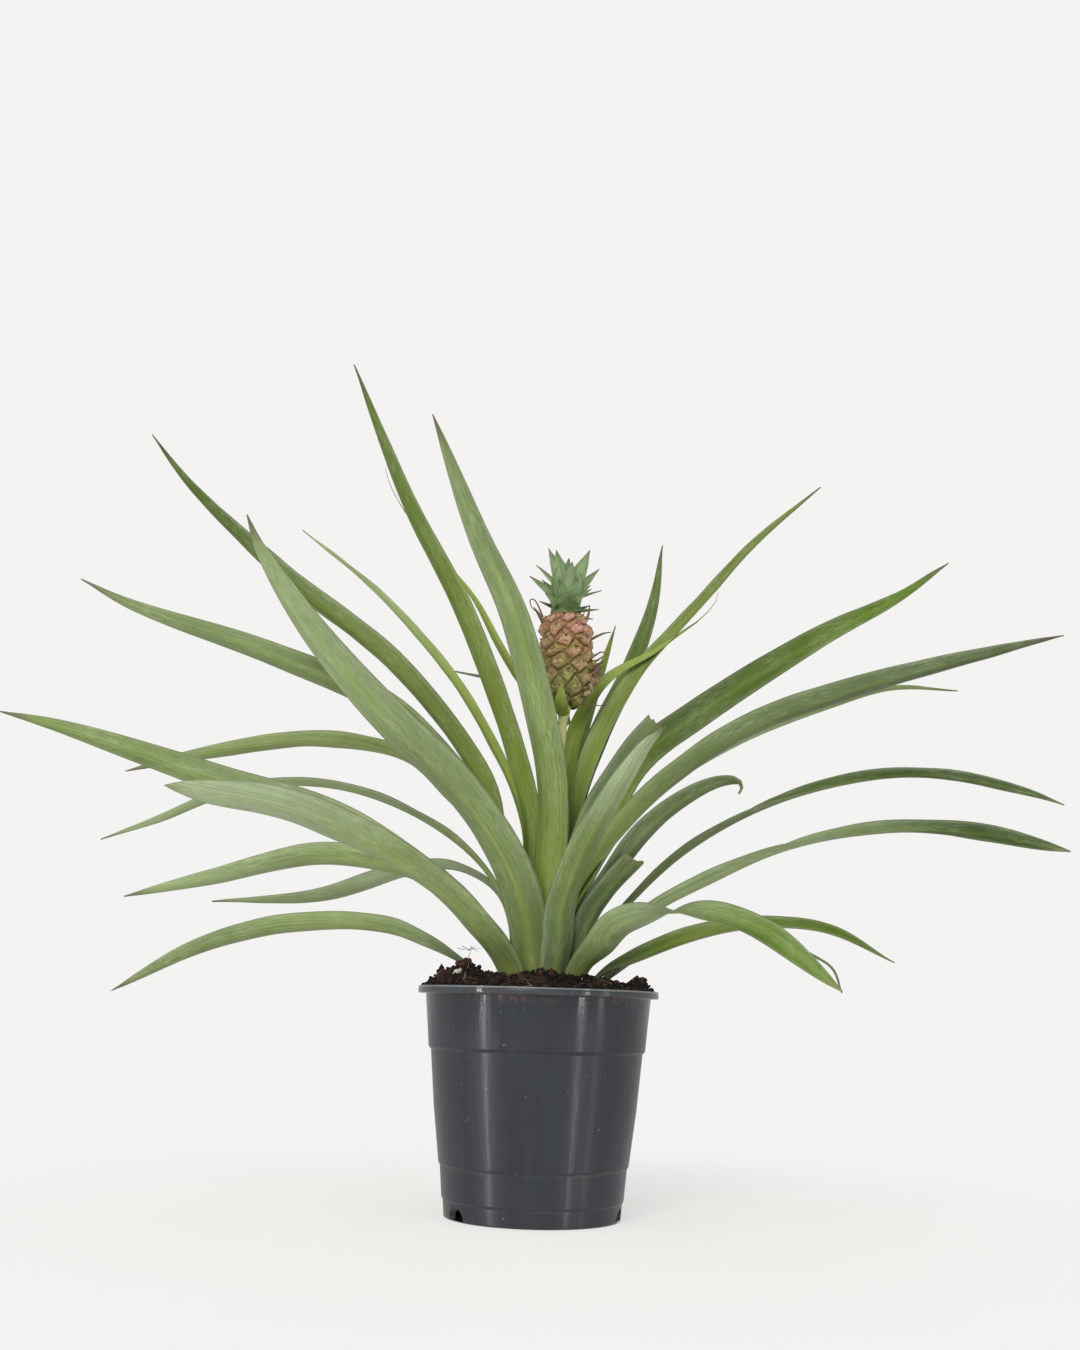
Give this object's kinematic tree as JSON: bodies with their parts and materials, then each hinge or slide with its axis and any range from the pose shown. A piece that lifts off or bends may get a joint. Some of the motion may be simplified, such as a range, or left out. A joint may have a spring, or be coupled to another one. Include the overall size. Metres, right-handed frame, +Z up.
{
  "type": "potted pineapple plant",
  "caption": "Potted pineapple plant: a rosette of long channelled leaves round a stalk with one small crowned fruit, standing in peat in a tapered ribbed nursery pot.",
  "frame": {"origin": "on the pot's axis, in the plane that the pot stands on", "axes": "+Z up, +X to the right and +Y to the back as seen in the picture"},
  "size_m": [0.5435, 0.301, 0.4282],
  "materials": {
    "pot_plastic": "satin",
    "peat": "rough",
    "leaf_green": "satin",
    "stalk_green": "satin",
    "fruit_skin": "matte",
    "crown_green": "satin"
  },
  "bodies": {
    "root": {"pot": "pot_plastic", "soil": "peat", "stem": "stalk_green", "leaf_upright_1": "leaf_green", "leaf_upright_2": "leaf_green", "leaf_upright_3": "leaf_green", "leaf_upright_4": "leaf_green", "leaf_upright_5": "leaf_green", "leaf_upright_6": "leaf_green", "leaf_upright_7": "leaf_green", "leaf_left_1": "leaf_green", "leaf_back_1": "leaf_green", "leaf_left_2": "leaf_green", "leaf_right_1": "leaf_green", "leaf_left_3": "leaf_green", "leaf_right_2": "leaf_green", "leaf_right_3": "leaf_green", "leaf_left_4": "leaf_green", "leaf_left_5": "leaf_green", "leaf_right_4": "leaf_green", "leaf_right_5": "leaf_green", "leaf_back_2": "leaf_green", "leaf_left_6": "leaf_green", "leaf_left_7": "leaf_green", "leaf_right_6": "leaf_green", "leaf_right_7": "leaf_green", "leaf_front_1": "leaf_green", "leaf_left_8": "leaf_green", "leaf_right_8": "leaf_green", "leaf_left_9": "leaf_green", "leaf_back_3": "leaf_green", "leaf_front_2": "leaf_green", "leaf_front_3": "leaf_green", "leaf_right_9": "leaf_green", "leaf_right_10": "leaf_green", "leaf_left_10": "leaf_green", "fruit": "fruit_skin", "crown": "crown_green"}
  },
  "joints": []
}
